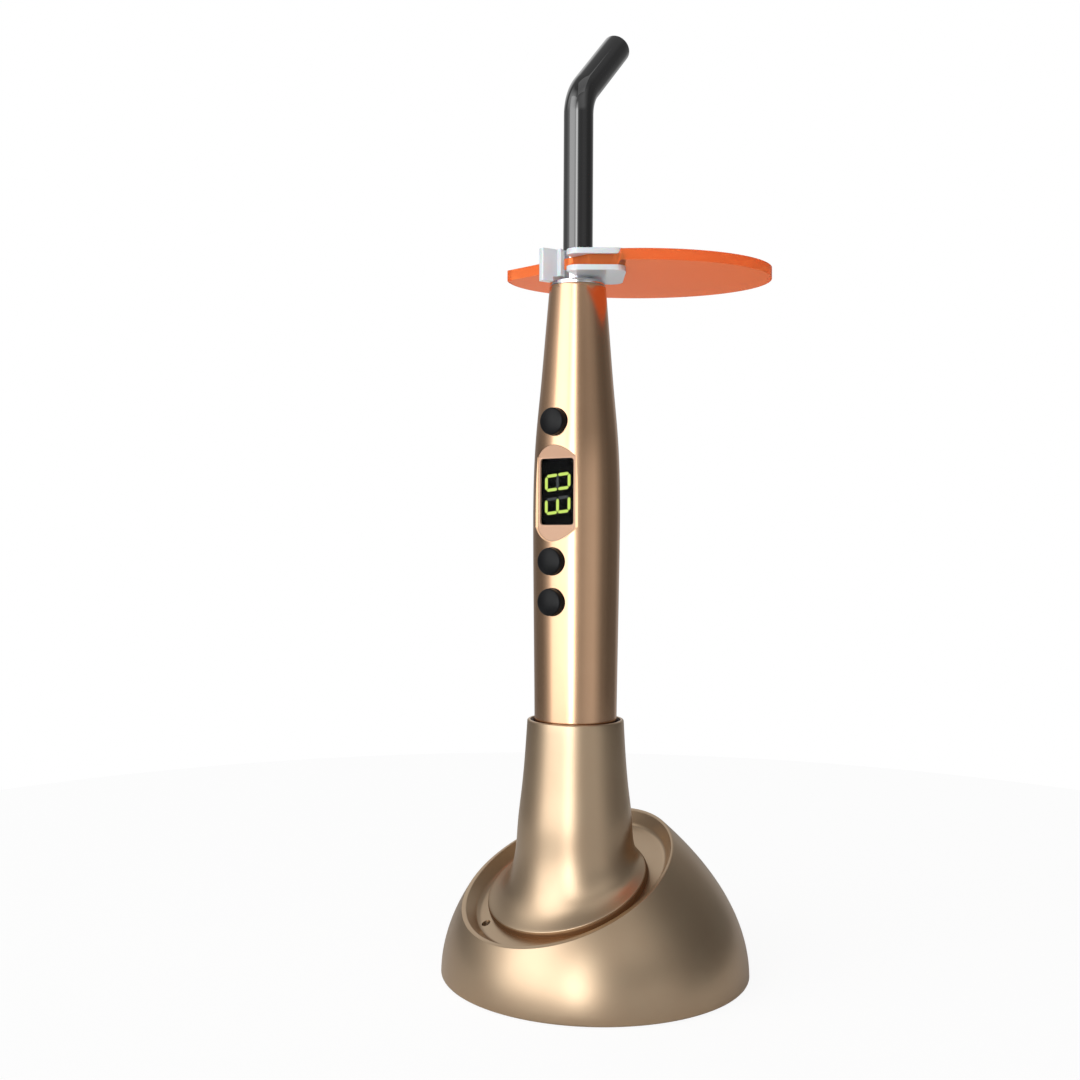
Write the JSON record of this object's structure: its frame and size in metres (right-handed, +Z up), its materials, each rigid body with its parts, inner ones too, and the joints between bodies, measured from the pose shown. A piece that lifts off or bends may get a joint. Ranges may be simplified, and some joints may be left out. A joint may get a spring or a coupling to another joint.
{
  "type": "dental curing light",
  "caption": "Cordless dental curing light standing in a domed charging dock, with a bent light guide, turning orange shield, push buttons and a small digit display.",
  "frame": {"origin": "on the table, under the axis of the docked handpiece", "axes": "+Z up along the handpiece, buttons and display face -Y, the guide's tip bends towards +Y"},
  "size_m": [0.084, 0.0839, 0.2597],
  "materials": {
    "pad_rubber": "matt moulded rubber",
    "cover_plastic": "fine-textured moulded plastic",
    "ballast_steel": "zinc-plated pressed steel",
    "dock_gold": "satin champagne anodised",
    "liner_rubber": "soft dark liner",
    "screw_steel": "bright machine screw",
    "board_green": "green solder mask",
    "led_white": "white chip package",
    "pipe_smoke": "smoked clear plastic",
    "jack_plastic": "black moulded plastic",
    "contact_brass": "gold-plated brass",
    "spring_steel": "nickel-plated spring steel",
    "handpiece_gold": "polished rose-champagne anodised",
    "seal_rubber": "black ring seal",
    "cell_sleeve": "shrink sleeve",
    "button_black": "black satin plastic",
    "bezel_rose": "satin rose anodised",
    "window_glass": "smoked flat glass",
    "display_black": "black display face",
    "segment_lit": "glowing yellow-green",
    "segment_dark": "unlit grey",
    "sink_aluminium": "turned aluminium",
    "lens_glass": "clear lens",
    "collar_chrome": "bright chrome",
    "guide_glass": "polished dark glass",
    "clip_milky": "milky clear moulding",
    "shield_orange": "orange tinted acrylic"
  },
  "bodies": {
    "dock": {"foot_pad": "pad_rubber", "bottom_cover": "cover_plastic", "ballast": "ballast_steel", "dock_shell": "dock_gold", "cup": "dock_gold", "cover_screws": "screw_steel", "cup_screws": "screw_steel", "dock_board": "board_green", "charge_led": "led_white", "light_pipe": "pipe_smoke", "dc_jack": "jack_plastic", "jack_pin": "contact_brass", "contact_block": "jack_plastic", "pin_sleeves": "contact_brass", "centre_pin_spring": "spring_steel", "ring_pin_spring": "spring_steel"},
    "liner": {"cup_liner": "liner_rubber"},
    "handpiece": {"barrel": "handpiece_gold", "tail_cap": "handpiece_gold", "tail_seal": "seal_rubber", "ring_contact": "contact_brass", "centre_contact": "contact_brass", "battery_spring": "spring_steel", "battery_cell": "cell_sleeve", "battery_plate": "spring_steel", "chassis": "cover_plastic", "control_board": "board_green", "buzzer": "jack_plastic", "switches": "jack_plastic", "display_bezel": "bezel_rose", "display_window": "window_glass", "display_module": "display_black", "lit_segments": "segment_lit", "dark_segments": "segment_dark", "heat_sink": "sink_aluminium", "led_emitter": "led_white", "lens": "lens_glass", "nose_collar": "collar_chrome"},
    "start_switch": {"start_button": "button_black"},
    "time_switch": {"time_button": "button_black"},
    "mode_switch": {"mode_button": "button_black"},
    "guide_seal": {"ring_seal": "seal_rubber"},
    "light_guide": {"guide_rod": "guide_glass", "guide_ferrule": "collar_chrome"},
    "shield": {"shield_clip": "clip_milky", "shield_plate": "shield_orange"},
    "centre_probe": {"centre_pin": "contact_brass"},
    "ring_probe": {"ring_pin": "contact_brass"}
  },
  "joints": [
    {"name": "handpiece_turn", "type": "hinge", "parent": "dock", "child": "liner", "pos_m": [0, 0, 0], "axis": [0, 0, 1], "continuous": true},
    {"name": "handpiece_lift", "type": "slide", "parent": "liner", "child": "handpiece", "axis": [0, 0, 1], "range_m": [0, 0.08]},
    {"name": "start_press", "type": "slide", "parent": "handpiece", "child": "start_switch", "axis": [0, 1, 0], "range_m": [0, 0.0006], "stiffness_N_per_m": 1500, "springref_m": -0.0004},
    {"name": "time_press", "type": "slide", "parent": "handpiece", "child": "time_switch", "axis": [0, 1, 0], "range_m": [0, 0.0006], "stiffness_N_per_m": 1500, "springref_m": -0.0004},
    {"name": "mode_press", "type": "slide", "parent": "handpiece", "child": "mode_switch", "axis": [0, 1, 0], "range_m": [0, 0.0006], "stiffness_N_per_m": 1500, "springref_m": -0.0004},
    {"name": "guide_turn", "type": "hinge", "parent": "handpiece", "child": "guide_seal", "pos_m": [0, 0, 0.1859], "axis": [0, 0, 1], "continuous": true},
    {"name": "guide_pull", "type": "slide", "parent": "guide_seal", "child": "light_guide", "axis": [0, 0, 1], "range_m": [0, 0.018]},
    {"name": "shield_turn", "type": "hinge", "parent": "light_guide", "child": "shield", "pos_m": [0, 0, 0.19], "axis": [0, 0, 1], "continuous": true},
    {"name": "centre_pin_press", "type": "slide", "parent": "dock", "child": "centre_probe", "axis": [0, 0, -1], "range_m": [0, 0.0008], "stiffness_N_per_m": 400, "springref_m": -0.0005, "deforming": ["centre_pin_spring"]},
    {"name": "ring_pin_press", "type": "slide", "parent": "dock", "child": "ring_probe", "axis": [0, 0, -1], "range_m": [0, 0.0008], "stiffness_N_per_m": 400, "springref_m": -0.0005, "deforming": ["ring_pin_spring"]}
  ]
}
